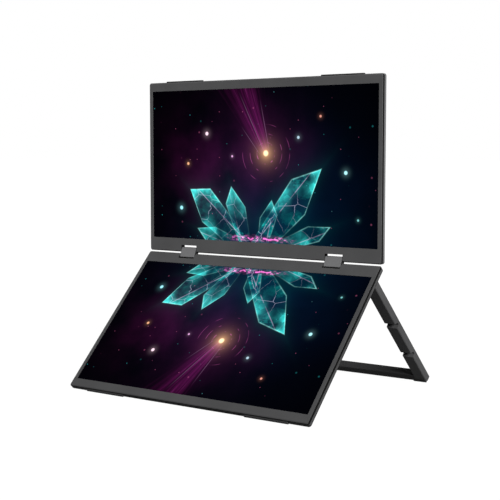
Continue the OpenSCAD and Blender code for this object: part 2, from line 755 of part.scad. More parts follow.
// Bevelled bar: four flat sides and four bevels
function bevelled(a0, a1, b0, b1, c) = [[a0 + c, b0], [a1 - c, b0], [a1, b0 + c], [a1, b1 - c],
  [a1 - c, b1], [a0 + c, b1], [a0, b1 - c], [a0, b0 + c]];
module leg() {
  translate([0, leg_length, 0]) rotate([90, 0, 0]) linear_extrude(leg_length)
    polygon(bevelled(leg_inner_x, leg_outer_x, -leg_half, leg_half, stand_bevel));
  translate([(leg_inner_x + leg_outer_x) / 2, 0, 0]) {
    bar_x(leg_half, leg_w - 2 * stand_bevel);
    for (turn = [90, -90]) rotate([0, turn, 0]) translate([0, 0, leg_w / 2 - stand_bevel])
      cylinder(r1 = leg_half, r2 = leg_half - stand_bevel, h = stand_bevel);
  }
}
module leg_notch(place) {
  top = leg_length - place - leg_notch_w / 2;
  bottom = top + leg_notch_w;
  floor_z = leg_half - leg_notch_depth;
  profile_x([[top, leg_half + 1], [top, leg_half], [top + notch_slope, floor_z],
    [bottom - notch_wall_lean, floor_z], [bottom, leg_half], [bottom, leg_half + 1]],
    leg_inner_x - 1, leg_outer_x + 1);
}
// Foot: the end of a leg, widened inwards over the crossbar
module foot_outline() {
  end = leg_length;
  outer = leg_outer_x - stand_bevel;
  inner = leg_inner_x - stand_pad_reach;
  slant = 2 * foot_reach;
  polygon([[outer, end - crossbar_h], [outer, end], [inner, end], [inner - slant, end - foot_reach],
    [inner - slant, end - crossbar_h]]);
}
module foot_pad_space() {
  start = leg_length - stand_pad_rise;
  inner = leg_half - pad_seat;
  profile_x([[start, leg_half + 1], [start, inner], [leg_length - pad_end, inner],
    [leg_length - pad_end, leg_half - stand_pad_depth], [leg_length + 1, leg_half - stand_pad_depth],
    [leg_length + 1, leg_half + 1]], leg_inner_x - stand_pad_reach, leg_outer_x + 1);
}
module stand_frame() {
  bar_end = leg_length - foot_reach;
  color([0.16, 0.16, 0.17]) on_stand() difference() {
    union() {
      both_mirrored() {
        leg();
        translate([0, 0, stand_bevel - leg_half])
          linear_extrude(leg_thickness - 2 * stand_bevel) foot_outline();
      }
      profile_x(bevelled(bar_end - crossbar_h, bar_end, -leg_half, leg_half, stand_bevel),
        -leg_inner_x - 1, leg_inner_x + 1);
    }
    both_mirrored() {
      leg_notch(upper_notch_place);
      leg_notch(lower_notch_place);
      foot_pad_space();
      translate([(leg_inner_x + leg_outer_x) / 2, 0, 0]) bar_x(bushing_r + pin_fit, leg_w + 2);
      translate([leg_outer_x, 0, 0]) bar_x(stand_head_r + 0.3, 2 * (stand_head_h + 3 * small_gap));
    }
  }
}
module stand_foot_pads() {
  top = leg_half + stand_pad_proud;
  start = leg_length - stand_pad_rise;
  inner = leg_half - pad_seat;
  color([0.05, 0.05, 0.05]) on_stand() both_mirrored()
    profile_x([[start, inner], [start, leg_half], [start + pad_bevel, top],
      [leg_length - foot_flat / cos(lower_tilt), top], [leg_length, top - foot_flat / sin(lower_tilt)],
      [leg_length, leg_half - stand_pad_depth], [leg_length - pad_end, leg_half - stand_pad_depth],
      [leg_length - pad_end, inner]],
      leg_inner_x - stand_pad_reach, leg_outer_x - stand_bevel);
}
module stand_bushings() {
  length = leg_w - stand_head_h - 4 * small_gap;
  color([0.8, 0.8, 0.76]) on_stand() both_mirrored()
    translate([leg_inner_x + length / 2, 0, 0]) difference() {
      bar_x(bushing_r, length);
      bar_x(stand_pin_d / 2 + slip, length + 2);
    }
}
module stand_friction_washers() {
  color([0.65, 0.66, 0.68]) on_stand() both_mirrored()
    translate([leg_inner_x - small_gap / 2 - washer_thickness / 2, 0, 0]) difference() {
      bar_x(leg_half - stand_bevel, washer_thickness);
      bar_x(stand_pin_d / 2 + slip, washer_thickness + 2);
    }
}

lower_bezel();
lower_screen_panel();
lower_light_sheets();
lower_light_guide();
lower_led_strip();
lower_backlight_tray();
lower_rear_cover();
lower_driver_board();
lower_usb_c_sockets();
lower_mini_hdmi_socket();
lower_flat_cable();
lower_hinge_brackets();
lower_hinge_pins();
lower_hinge_screws();
lower_rubber_feet();
lower_power_button();
lower_menu_button();
speakers();
stand_brackets();
stand_bracket_screws();
stand_pivot_pins();
hinge_blocks();
hinge_friction_sleeves();
upper_bezel();
upper_screen_panel();
upper_light_sheets();
upper_light_guide();
upper_led_strip();
upper_backlight_tray();
upper_rear_cover();
upper_driver_board();
upper_usb_c_socket();
upper_mini_hdmi_socket();
upper_flat_cable();
upper_hinge_brackets();
upper_hinge_pins();
upper_hinge_screws();
upper_rubber_feet();
upper_power_button();
upper_menu_button();
stand_frame();
stand_foot_pads();
stand_bushings();
stand_friction_washers();
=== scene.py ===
import json
import math

import bmesh
import bpy
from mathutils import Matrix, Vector


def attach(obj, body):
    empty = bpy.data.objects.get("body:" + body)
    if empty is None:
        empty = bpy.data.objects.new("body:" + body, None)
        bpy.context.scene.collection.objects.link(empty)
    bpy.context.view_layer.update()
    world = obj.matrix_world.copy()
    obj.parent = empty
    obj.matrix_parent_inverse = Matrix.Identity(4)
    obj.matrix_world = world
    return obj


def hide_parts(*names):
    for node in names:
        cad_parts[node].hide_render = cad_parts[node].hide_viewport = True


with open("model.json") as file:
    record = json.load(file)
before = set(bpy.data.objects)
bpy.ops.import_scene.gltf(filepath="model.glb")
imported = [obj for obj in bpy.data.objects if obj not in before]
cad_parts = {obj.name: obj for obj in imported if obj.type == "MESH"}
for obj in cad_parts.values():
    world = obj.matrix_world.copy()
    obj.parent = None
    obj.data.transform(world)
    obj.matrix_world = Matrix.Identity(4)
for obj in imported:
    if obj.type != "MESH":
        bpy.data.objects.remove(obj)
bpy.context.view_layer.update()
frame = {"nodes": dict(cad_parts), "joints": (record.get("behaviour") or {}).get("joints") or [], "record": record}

MM = 0.001
nodes = frame["nodes"]
node_body = {n: b for b, names in frame["record"]["behaviour"]["bodies"].items() for n in names}
node_slot = {s["node"]: s["material_slot"] for s in frame["record"]["subparts"]}
joints = {j["name"]: j for j in frame["joints"]}

# Sizes that the pictures on the screens and the painted shades are laid out by, in metres
LOWER_TILT = math.radians(45.2)
UPPER_TILT = math.radians(90)
HINGE_BEZEL = 17.9 * MM
HINGE_INSET = 2.6 * MM
HINGE_DEPTH = 3.8 * MM
HINGE_OFFSET = 111.7 * MM
BLOCK_HALF = 12.05 * MM
BLOCK_FLAT = 6.3 * MM
NOTCH_HALF = 12.55 * MM
NOTCH_DEPTH = 9 * MM
HALF_PICTURE = 193.6 * MM / 2
DISPLAY_HEIGHT = 222.9 * MM
SIDE_WALL = 178 * MM
LEG_INNER = 152.6 * MM


# ---------------------------------------------------------------- camera
CAMERA_AT = Vector((837.23, -1175.2, 297.08)) * MM
LOOK_AT = Vector((115.38, -172.58, 190.82)) * MM
camera_data = bpy.data.cameras.new("camera")
camera_data.sensor_width = 36
camera_data.lens = 82.863
camera_data.clip_start = 0.01
camera = bpy.data.objects.new("camera", camera_data)
bpy.context.scene.collection.objects.link(camera)
camera.location = CAMERA_AT
camera.rotation_euler = (LOOK_AT - CAMERA_AT).to_track_quat("-Z", "Y").to_euler()
bpy.context.scene.camera = camera


# ---------------------------------------------------------------- shader maths
class Maths:
    """Writes shader maths as ordinary sums: a Maths wraps a socket or a number."""

    def __init__(self, tree, value):
        self.tree = tree
        self.value = value

    def _node(self, operation, *others, clamp=False):
        node = self.tree.nodes.new("ShaderNodeMath")
        node.operation = operation
        node.use_clamp = clamp
        for socket, other in zip(node.inputs, (self,) + others):
            other = other.value if isinstance(other, Maths) else other
            if isinstance(other, (int, float)):
                socket.default_value = other
            else:
                self.tree.links.new(other, socket)
        return Maths(self.tree, node.outputs[0])

    def __add__(self, other):
        return self._node("ADD", other)

    def __sub__(self, other):
        return self._node("SUBTRACT", other)

    def __mul__(self, other):
        return self._node("MULTIPLY", other)

    def __truediv__(self, other):
        return self._node("DIVIDE", other)

    def __neg__(self):
        return self._node("MULTIPLY", -1.0)

    def exp(self):
        return self._node("EXPONENT")

    def abs(self):
        return self._node("ABSOLUTE")

    def clamp(self):
        return self._node("ADD", 0.0, clamp=True)

    def at_least(self, other):
        return self._node("MAXIMUM", other)

    def at_most(self, other):
        return self._node("MINIMUM", other)

    def root(self):
        return self._node("SQRT")

    def bell(self, centre, width):
        """1 at the centre, falling off smoothly over the width."""
        away = (self - centre) / width
        return (-(away * away)).exp()

    def step(self, low, high):
        """0 below low, 1 above high, smooth between; high may be the lower one."""
        node = self.tree.nodes.new("ShaderNodeMapRange")
        node.interpolation_type = "SMOOTHSTEP"
        self.tree.links.new(self.value, node.inputs["Value"])
        set_inputs(node, {"From Min": low, "From Max": high})
        return Maths(self.tree, node.outputs["Result"])

    def tint(self, colour):
        """The colour, as strong as this value."""
        node = self.tree.nodes.new("ShaderNodeVectorMath")
        node.operation = "SCALE"
        if isinstance(colour, tuple):
            node.inputs[0].default_value = colour
        else:
            self.tree.links.new(colour, node.inputs[0])
        self.tree.links.new(self.value, node.inputs["Scale"])
        return node.outputs[0]


def set_inputs(node, values):
    """Sets inputs of a node, by name, to constants."""
    for name, value in values.items():
        node.inputs[name].default_value = value


def join(tree, *parts):
    """One vector from three values."""
    node = tree.nodes.new("ShaderNodeCombineXYZ")
    for socket, part in zip(node.inputs, parts):
        if isinstance(part, Maths):
            tree.links.new(part.value, socket)
        else:
            socket.default_value = part
    return node.outputs[0]


def split(tree, kind, whole):
    """The three values of a vector (kind XYZ) or a colour (kind Color)."""
    node = tree.nodes.new("ShaderNodeSeparate" + kind)
    tree.links.new(whole, node.inputs[0])
    return [Maths(tree, socket) for socket in node.outputs[:3]]


def turned(across, up, angle):
    """Places across and along a line that leans by the angle from upright."""
    sine, cosine = math.sin(angle), math.cos(angle)
    return across * cosine - up * sine, across * sine + up * cosine


def add_all(tree, vectors):
    total = vectors[0]
    for vector in vectors[1:]:
        node = tree.nodes.new("ShaderNodeVectorMath")
        tree.links.new(total, node.inputs[0])
        tree.links.new(vector, node.inputs[1])
        total = node.outputs[0]
    return total


def place(tree):
    """The point on the piece, in metres, in the frame at rest."""
    return tree.nodes.new("ShaderNodeTexCoord").outputs["Object"]


def axes(tree):
    """The point on the piece as its x, y and z."""
    return split(tree, "XYZ", place(tree))


def stretched(tree, scales):
    node = tree.nodes.new("ShaderNodeMapping")
    set_inputs(node, {"Scale": scales})
    tree.links.new(place(tree), node.inputs["Vector"])
    return node.outputs[0]


def noise(tree, vector, scale, detail=2.0, roughness=0.5, dimensions="3D"):
    node = tree.nodes.new("ShaderNodeTexNoise")
    node.noise_dimensions = dimensions
    set_inputs(node, {"Scale": scale, "Detail": detail, "Roughness": roughness})
    tree.links.new(vector, node.inputs["Vector"])
    return Maths(tree, node.outputs[0])


def voronoi(tree, vector, scale, feature="F1", dimensions="2D", randomness=1.0):
    """Cells: the distance to their middle or edge, and a chance colour for each."""
    node = tree.nodes.new("ShaderNodeTexVoronoi")
    node.feature = feature
    node.voronoi_dimensions = dimensions
    set_inputs(node, {"Scale": scale, "Randomness": randomness})
    tree.links.new(vector, node.inputs["Vector"])
    return Maths(tree, node.outputs["Distance"]), node.outputs.get("Color")


def mix_colours(tree, factor, first, second):
    node = tree.nodes.new("ShaderNodeMix")
    node.data_type = "RGBA"
    for socket, colour in ((node.inputs[6], first), (node.inputs[7], second)):
        if isinstance(colour, tuple):
            socket.default_value = colour + (1,)
        else:
            tree.links.new(colour, socket)
    tree.links.new(factor.value, node.inputs[0])
    return node.outputs[2]


def new_material(name):
    material = bpy.data.materials.new(name)
    material.use_nodes = True
    tree = material.node_tree
    return material, tree, tree.nodes["Principled BSDF"]


def surface(tree, shader, colour, roughness):
    """Gives a shader a varying colour and a varying roughness."""
    tree.links.new(colour, shader.inputs["Base Color"])
    tree.links.new(roughness.value, shader.inputs["Roughness"])


def bump(tree, shader, height, distance):
    node = tree.nodes.new("ShaderNodeBump")
    set_inputs(node, {"Strength": 1.0, "Distance": distance})
    tree.links.new(height.value, node.inputs["Height"])
    tree.links.new(node.outputs[0], shader.inputs["Normal"])


# ---------------------------------------------------------------- painted shade: notch walls, rim lines, ends and between the legs
FADE = 0.1 * MM  # over which the painted shade at a notch, an end or a leg begins
LINE_FADE = 0.05 * MM  # over which a thin line of painted shade round the rim begins
END_BAND = 1.3 * MM  # height of the rounded outer end of a display
END_FRONT = 1.0 * MM  # how far behind the front face the painted shade of the outer end begins
END_LINE_SHIFT = 0.7 * MM  # how much further back the lines of painted shade round the rim begin there
# Strength of the painted shade on the lower display's outer end, and on the crossbar and the inner faces of the
# legs
END_SHADE = 0.66
CROSSBAR_SHADE = 0.35


def display_frame(lower):
    """The hinge line of a display, as y and z, and how far the display leans back from level."""
    _, hinge_y, hinge_z = joints["lower_hinge" if lower else "upper_hinge"]["pos_m"]
    return hinge_y, hinge_z, LOWER_TILT if lower else UPPER_TILT


def display_axes(tree, lower):
    """Across the display, away from its hinge edge, and behind its front face."""
    x, y, z = axes(tree)
    hinge_y, hinge_z, tilt = display_frame(lower)
    turn = -1 if lower else 1
    away = (y - hinge_y) * (turn * math.cos(tilt)) + (z - hinge_z) * (turn * math.sin(tilt))
    depth = (y - hinge_y) * math.sin(tilt) - (z - hinge_z) * math.cos(tilt)
    return x, away + HINGE_INSET, depth + HINGE_DEPTH


def case_painted_shade(lower, lines):
    """Painted shade: the walls of the hinge notches, and lines round the rim between the given depths, painted
    near black where shade falls.

    The outer end of the lower display gets painted shade too."""
    def painted_shade(tree):
        x, away, depth = display_axes(tree, lower)
        beside = (x.abs() - HINGE_OFFSET).abs()
        in_notch = away.step(NOTCH_DEPTH + FADE, NOTCH_DEPTH)
        dark = beside.step(NOTCH_HALF + FADE, NOTCH_HALF) * in_notch
        end = away.step(DISPLAY_HEIGHT - END_BAND, DISPLAY_HEIGHT - END_BAND + 2 * FADE)
        for start, stop in lines:
            behind_start = depth - (end * END_LINE_SHIFT + start * MM)
            line = (behind_start / LINE_FADE).clamp() * depth.step(stop * MM + LINE_FADE, stop * MM)
            dark = dark + line
        if lower:
            dark = dark + end * depth.step(END_FRONT, END_FRONT + 2 * FADE) * END_SHADE
        return dark.clamp()
    return painted_shade


def block_painted_shade(tree):
    """Painted shade on the round ends and the cheeks of the hinge blocks."""
    x, y, z = axes(tree)
    low, high = (Vector(joints[name]["pos_m"]) for name in ("lower_hinge", "upper_hinge"))
    middle, line = (low + high) / 2, (high - low).normalized()
    along = (y - middle.y) * line.y + (z - middle.z) * line.z
    beside = (x.abs() - HINGE_OFFSET).abs()
    ends = along.abs().step(BLOCK_FLAT, BLOCK_FLAT + 2 * FADE)
    cheeks = beside.step(BLOCK_HALF - 2 * FADE, BLOCK_HALF - FADE)
    return (ends + cheeks).clamp()


def between_legs(tree):
    """Painted shade on the crossbar of the stand and the inner faces of its legs."""
    return axes(tree)[0].abs().step(LEG_INNER + 4 * FADE, LEG_INNER + 2 * FADE) * CROSSBAR_SHADE


# ---------------------------------------------------------------- finishes
COLOUR_SPREAD = 0.12  # share by which a grained colour is lighter and darker
GLOSS_SPREAD = 0.08
# The near black and the extra roughness of painted shade
PAINTED_SHADE_COLOUR = (0.004, 0.004, 0.004)
PAINTED_SHADE_DULLNESS = 0.4


def grained(name, colour, roughness, grain=0.25, grain_depth=0.02, metallic=0.0, specular=0.5,
            painted_shade=None):
    """Fine matt grain: a blasted or moulded surface, with slightly uneven colour and gloss.

    Where the mask of painted shade gives 1, the surface is painted near black and duller: painted shade in a
    notch, along a rim or between parts."""
    material, tree, shader = new_material(name)
    fine = noise(tree, place(tree), 1 / (grain * MM), detail=3, roughness=0.6)
    broad = noise(tree, place(tree), 24, detail=3)
    shade = (fine - 0.5) * 0.6 + (broad - 0.5) * 0.8
    amount = (shade * 2 + 0.5).clamp()
    darker = tuple(c * (1 - COLOUR_SPREAD) for c in colour)
    lighter = tuple(c * (1 + COLOUR_SPREAD) for c in colour)
    base = mix_colours(tree, amount, darker, lighter)
    gloss = (broad - 0.5) * GLOSS_SPREAD + (fine - 0.5) * GLOSS_SPREAD + roughness
    # Painted shade: the colour is mixed towards near black where the mask gives 1
    if painted_shade:
        dark = painted_shade(tree)
        base = mix_colours(tree, dark, base, PAINTED_SHADE_COLOUR)
        gloss = gloss + dark * PAINTED_SHADE_DULLNESS
    surface(tree, shader, base, gloss)
    set_inputs(shader, {"Metallic": metallic, "Specular IOR Level": specular})
    bump(tree, shader, fine, grain_depth * MM)
    return material


def brushed(name, colour, roughness):
    """Bright metal with fine lines along x, as turned or rolled metal has."""
    material, tree, shader = new_material(name)
    lines = noise(tree, stretched(tree, (60, 2500, 2500)), 1, detail=3, roughness=0.65)
    dull = tuple(c * 0.8 for c in colour)
    surface(tree, shader, mix_colours(tree, lines, dull, colour), (lines - 0.5) * 0.25 + roughness)
    set_inputs(shader, {"Metallic": 1, "Specular IOR Level": 0.5})
    bump(tree, shader, lines, 0.01 * MM)
    return material


def circuit(name):
    """Solder mask over copper tracks, with bare pads."""
    material, tree, shader = new_material(name)
    grid, _ = voronoi(tree, stretched(tree, (240, 240, 240)), 1, "DISTANCE_TO_EDGE", "3D", 0.0)
    patches = noise(tree, place(tree), 90, detail=1).step(0.45, 0.5)
    tracks = grid.step(0.16, 0.1) * patches
    mask = mix_colours(tree, tracks, (0.012, 0.09, 0.05), (0.03, 0.2, 0.11))
    surface(tree, shader, mask, noise(tree, place(tree), 900) * 0.2 + 0.25)
    bump(tree, shader, tracks, 0.03 * MM)
    return material


def clear_sheet(name, colour, roughness, transmission=0.0):
    """Smooth plastic sheet with a fine dot pattern that scatters the light."""
    material, tree, shader = new_material(name)
    dots, _ = voronoi(tree, place(tree), 1400, "F1", "3D", 0.1)
    spots = dots.step(0.35, 0.2)
    pale = tuple(min(1, c * 1.08) for c in colour)
    surface(tree, shader, mix_colours(tree, spots, colour, pale), spots * 0.2 + roughness)
    set_inputs(shader, {"Transmission Weight": transmission})
    return material


# ---------------------------------------------------------------- pictures on the screens
TEAL, CYAN, PALE = (0.0, 0.30, 0.26), (0.012, 0.62, 0.52), (0.35, 0.95, 0.88)
NAVY, PLUM, MAGENTA = (0.0, 0.008, 0.026), (0.07, 0.003, 0.045), (0.6, 0.03, 0.4)
PINK, AMBER, WARM = (0.9, 0.16, 0.6), (1.0, 0.62, 0.18), (1.0, 0.85, 0.5)
GLOW, GLASS, LILAC = (0.06, 0.85, 0.8), (0.0, 0.012, 0.028), (0.75, 0.5, 0.8)
CRACK, STREAK, RAY = (0.62, 0.62, 0.85), (0.9, 0.4, 0.85), (0.8, 0.45, 0.8)
DUST_COOL, DUST_WARM = (0.05, 0.7, 0.75), (0.95, 0.2, 0.45)

# Crystals: lean from upright in degrees, length, half width, length of the point,
# place of the foot, strength
CRYSTALS = (
    (-74, 0.72, 0.13, 0.26, -0.30, 0.7),
    (-50, 1.12, 0.25, 0.40, -0.26, 1.0),
    (-17, 0.80, 0.17, 0.30, -0.20, 0.8),
    (14, 0.62, 0.15, 0.26, 0.06, 0.7),
    (43, 1.38, 0.27, 0.60, 0.02, 1.0),
    (70, 0.84, 0.13, 0.30, 0.30, 0.75),
)
FOOT_BELOW = 0.05  # how far the feet of the crystals lie beyond the edge of the picture
RIM_FALL = 14  # how fast the light falls off from the outline of a crystal

COMET_U, COMET_V, COMET_LEAN = 0.12, 1.16, math.radians(-24)
# Rays in the comet's tail: place beside its middle line, and length
RAYS = ((-1.7, 0.5), (-0.35, 0.95), (1.25, 0.7))
# Rings round the comet: radius, width, strength
RINGS = ((0.14, 0.005, 0.45), (0.25, 0.004, 0.3), (0.37, 0.004, 0.2))
RING_CORE = 0.05  # keeps the pattern of the rings' gaps finite in the middle

# Spots of light out of focus: place, radius, strength, colour
SPOTS = (
    (-1.28, 0.42, 0.032, 1.3, (0.35, 0.9, 1.0)), (-0.84, 1.42, 0.03, 1.4, (1.0, 0.72, 0.85)),
    (1.32, 0.92, 0.03, 1.3, (0.45, 0.95, 1.0)), (-1.16, 1.02, 0.024, 1.1, (1.0, 0.5, 0.25)),
    (0.95, 1.62, 0.02, 0.9, (1.0, 0.4, 0.3)), (1.5, 0.34, 0.018, 0.7, (0.3, 0.9, 0.9)),
    (-0.42, 1.12, 0.018, 1.0, (0.95, 0.5, 0.9)), (0.62, 1.36, 0.024, 0.9, (0.6, 0.85, 1.0)),
)
# Dust: scale, size of a grain, share of cells without one, strength, shift of the pattern
DUST = ((3.4, 0.06, 0.8, 0.25, 3.0), (8.0, 0.07, 0.88, 0.4, 11.0))


class Picture:
    """The lights that make up the picture on a screen.

    u runs across from the middle and v away from the hinge edge, in half heights of the picture."""

    def __init__(self, tree, lower):
        x, away, _ = display_axes(tree, lower)
        self.tree = tree
        self.u = x / HALF_PICTURE
        self.v = (away - HINGE_BEZEL) / HALF_PICTURE
        self.haze = noise(tree, self.spot(), 1.6, detail=4, dimensions="2D")
        self.lights = []

    def spot(self, third=0.0):
        return join(self.tree, self.u, self.v, third)

    def light(self, amount, colour):
        self.lights.append(amount.tint(colour))

    def near(self, u, v, reach):
        """1 at the place given, falling off smoothly over the reach."""
        across, up = (self.u - u) / reach, (self.v - v) / reach
        return (-(across * across + up * up)).exp()

    def draw_ground(self):
        """Dark ground with broad glows."""
        clouds = self.haze.step(0.1, 0.9)
        self.light(self.near(0.25, 0.2, 1.1) * (self.haze + 0.5), NAVY)
        self.light(self.near(-0.8, 0.95, 0.65) * clouds * 0.5, PLUM)
        self.light(self.near(0.2, 1.2, 0.5) * clouds * 0.45, PLUM)

    def draw_crystals(self):
        """Cracked glass crystals that stand on the edge by the hinge."""
        tree, u, v = self.tree, self.u, self.v
        veins = noise(tree, join(tree, u, v * 1.2, 3.0), 4.2, detail=5, roughness=0.62)
        bright = veins.step(0.46, 0.64)
        patches = noise(tree, self.spot(7.0), 2.3, detail=3).step(0.44, 0.66)
        threads = (veins - 0.5).abs().step(0.014, 0.0)
        bent = join(tree, u + (veins - 0.5) * 0.16, v, 0.0)
        crack_edges, _ = voronoi(tree, bent, 3.7, "DISTANCE_TO_EDGE")
        cracks = crack_edges.step(0.018, 0.0) * self.haze.step(0.35, 0.7)
        _, shard_colour = voronoi(tree, bent, 7.5)
        shard, chance, _ = split(tree, "Color", shard_colour)
        glint = chance.step(0.86, 0.9)
        for number, (lean, length, half, point, foot, power) in enumerate(CRYSTALS):
            side, ridge_at, shade = (0.5, 0.34, 0.3) if number % 2 else (-0.5, -0.3, 0.8)
            across, up = turned(u - foot, v + FOOT_BELOW, math.radians(lean))
            slant = (across * side + up * -1 + length) * (half / point)
            width = slant.at_most(up * (0.5 * half / length) + 0.5 * half)
            outside = across.abs() - width
            inside = outside.step(0.004, -0.004)
            ridge = across - half * ridge_at
            face = ridge.step(-0.005, 0.005) * side + shade
            height = (up / length).step(0.05, 0.95)
            rim = (outside * RIM_FALL).exp()
            body = bright * (rim * 0.75 + height * 0.16) + threads * 0.16 + height * 0.03
            glass = patches * (rim * 1.2 + 0.1) * (shard * 0.7 + 0.6) * height
            outline = outside.bell(0.0, 0.0065) * height * (veins.step(0.3, 0.7) + 0.2)
            ridge_line = ridge.bell(0.0, 0.005) * veins.step(0.35, 0.6)
            halo = (outside.abs() * -RIM_FALL).exp() * up.step(0.0, 0.3)
            self.light(inside * body * face * (shard * 1.1 + 0.35) * power, CYAN)
            self.light(inside * glass * power, GLOW)
            self.light(inside * glint * bright * height * power * 0.35, GLOW)
            self.light(inside * cracks * power * 0.55, CRACK)
            self.light(inside * (face + 0.3) * power, GLASS)
            self.light(outline * power * 0.8, PALE)
            self.light(inside * ridge_line * 0.5 * power, LILAC)
            self.light(halo * 0.05 * power, TEAL)

    def draw_foot(self):
        """The glowing foot of the crystals."""
        stretch = join(self.tree, self.u * 14, self.v * 34, 0.0)
        scribble = noise(self.tree, stretch, 1, detail=2, dimensions="2D").step(0.5, 0.62)
        band = self.v.bell(0.05, 0.026) * self.u.step(-0.55, -0.25) * self.u.step(0.62, 0.25)
        self.light(band * (scribble * 1.3 + 0.12), PINK)

    def draw_comet(self):
        """A comet: a warm core, rings of light, and a tail of fine streaks."""
        tree = self.tree
        across, up = self.u - COMET_U, self.v - COMET_V
        radius = (across * across + up * up).root()
        beside, along = turned(across, up, COMET_LEAN)
        place_beside = beside / (along.at_least(0.0) * 0.16 + 0.05)
        tail = place_beside.bell(0.0, 1.0) * along.step(-0.02, 0.08) * (along * -1.5).exp()
        grain = join(tree, place_beside * 4.5, along * 0.8, 5.0)
        streaks = noise(tree, grain, 1, detail=4, roughness=0.7)
        self.light(tail * (streaks.step(0.4, 0.75) * 0.55 + 0.1), MAGENTA)
        self.light(tail * streaks.step(0.6, 0.8) * 0.5, STREAK)
        for middle, reach in RAYS:
            ray = place_beside.bell(middle, 0.035) * along.step(0.0, 0.1)
            self.light(ray * along.step(reach, reach * 0.4) * 0.2, RAY)
        around = join(tree, across / (radius + RING_CORE), up / (radius + RING_CORE), 1.0)
        arcs = noise(tree, around, 2.2, detail=2).step(0.45, 0.62)
        for ring, width, power in RINGS:
            self.light(radius.bell(ring, width) * arcs * power, PINK)
        self.light(radius.step(0.05, 0.02), WARM)
        self.light((radius * -16).exp() * 0.9, AMBER)
        self.light((radius * -7).exp() * 0.2, MAGENTA)

    def draw_spots(self):
        """Soft spots out of focus."""
        for u, v, size, power, colour in SPOTS:
            across, up = (self.u - u) / size, (self.v - v) / size
            away = across * across + up * up
            disc = away.step(1.0, 0.2) * 0.9 + (away * -0.3).exp() * 0.07
            self.light(disc * power, colour)

    def draw_dust(self):
        for scale, size, bare, power, shift in DUST:
            cells = join(self.tree, self.u + shift, self.v, 0.0)
            distance, chance = voronoi(self.tree, cells, scale)
            red, green, blue = split(self.tree, "Color", chance)
            grain = distance.step(size, size * 0.3) * red.step(bare, 1.0)
            colour = mix_colours(self.tree, green.step(0.5, 0.6), DUST_COOL, DUST_WARM)
            self.light(grain * (blue + 0.2) * power, colour)


def lit_screen(name, lower):
    """A cluster of glass crystals, a comet and soft spots on a dark ground, under matt glass."""
    material, tree, shader = new_material(name)
    picture = Picture(tree, lower)
    picture.draw_ground()
    picture.draw_crystals()
    picture.draw_foot()
    picture.draw_comet()
    picture.draw_spots()
    picture.draw_dust()
    tree.links.new(add_all(tree, picture.lights), shader.inputs["Emission Color"])
    grit = noise(tree, place(tree), 4000, detail=1)
    ground = mix_colours(tree, grit, (0.0004, 0.0004, 0.0012), (0.0006, 0.0006, 0.0016))
    surface(tree, shader, ground, grit * 0.1 + 0.3)
    set_inputs(shader, {"Emission Strength": 1, "Specular IOR Level": 0.0})
    return material


# ---------------------------------------------------------------- dressing the nodes
# Finishes by material slot
finish = {
    # The stand and the hinge blocks get painted shade: the crossbar and inner leg faces, the blocks' ends and
    # cheeks
    "stand": grained("stand finish and painted shade", (0.054, 0.054, 0.055), 0.6, specular=0.04,
                     painted_shade=between_legs),
    "bracket": grained("bracket finish", (0.045, 0.045, 0.046), 0.5, specular=0.3),
    "hinge_metal": grained("hinge finish and painted shade", (0.125, 0.125, 0.128), 0.5, grain=0.18, specular=0.3,
                           painted_shade=block_painted_shade),
    "button": grained("button finish", (0.035, 0.035, 0.036), 0.5, specular=0.35),
    "rubber": grained("rubber finish", (0.034, 0.034, 0.0345), 0.85, grain=0.4, grain_depth=0.05,
                      specular=0.04),
    "speaker": grained("speaker finish", (0.02, 0.02, 0.02), 0.7, specular=0.3),
    "bushing": grained("bushing finish", (0.6, 0.6, 0.57), 0.45),
    "led": grained("led finish", (0.75, 0.7, 0.42), 0.4),
    "flat_cable": grained("flat cable finish", (0.5, 0.24, 0.05), 0.35),
    "screw": grained("screw finish", (0.05, 0.05, 0.052), 0.4, metallic=1.0),
    "tray": brushed("tray finish", (0.07, 0.07, 0.073), 0.45),
    "socket": brushed("socket finish", (0.55, 0.56, 0.58), 0.28),
    "steel": brushed("steel finish", (0.46, 0.46, 0.48), 0.3),
    "sleeve": brushed("sleeve finish", (0.6, 0.42, 0.18), 0.32),
    "washer": brushed("washer finish", (0.5, 0.5, 0.52), 0.3),
    "circuit_board": circuit("circuit board finish"),
    "light_sheet": clear_sheet("light sheet finish", (0.85, 0.85, 0.83), 0.35),
    "light_guide": clear_sheet("light guide finish", (0.75, 0.82, 0.86), 0.15, transmission=0.6),
}

# Cases: display, whether it is the lower one, shades of its bezel and its rear cover (one grey, painted
# lighter on the upper display and darker on the lower as light and shade), and the depths in
# millimetres between which lines of painted shade run round the cover
CASES = (
    ("lower", True, 0.061, 0.038, ((1.9, 2.3), (5.9, 6.5))),
    ("upper", False, 0.083, 0.060, ((1.9, 2.3),)),
)
# Depths in millimetres of the line of painted shade round the bezel's rim
BEZEL_LINES = ((0.15, 2.0),)
BLUE_SHARE = 1.02  # a trace of blue in the grey of the cases

# Finishes of single nodes
own_finish = {}
for name, lower, bezel, cover, cover_lines in CASES:
    own_finish[name + "_screen_panel"] = lit_screen(name + " picture", lower)
    own_finish[name + "_bezel"] = grained(
        name + " bezel finish and painted shade", (bezel, bezel, bezel * BLUE_SHARE), 0.65, grain_depth=0.01,
        specular=0.05, painted_shade=case_painted_shade(lower, BEZEL_LINES))
    own_finish[name + "_rear_cover"] = grained(
        name + " cover finish and painted shade", (cover, cover, cover * BLUE_SHARE), 0.6,
        specular=0.12, painted_shade=case_painted_shade(lower, cover_lines))

for node, piece in nodes.items():
    piece.data.materials.clear()
    piece.data.materials.append(own_finish.get(node) or finish[node_slot[node]])


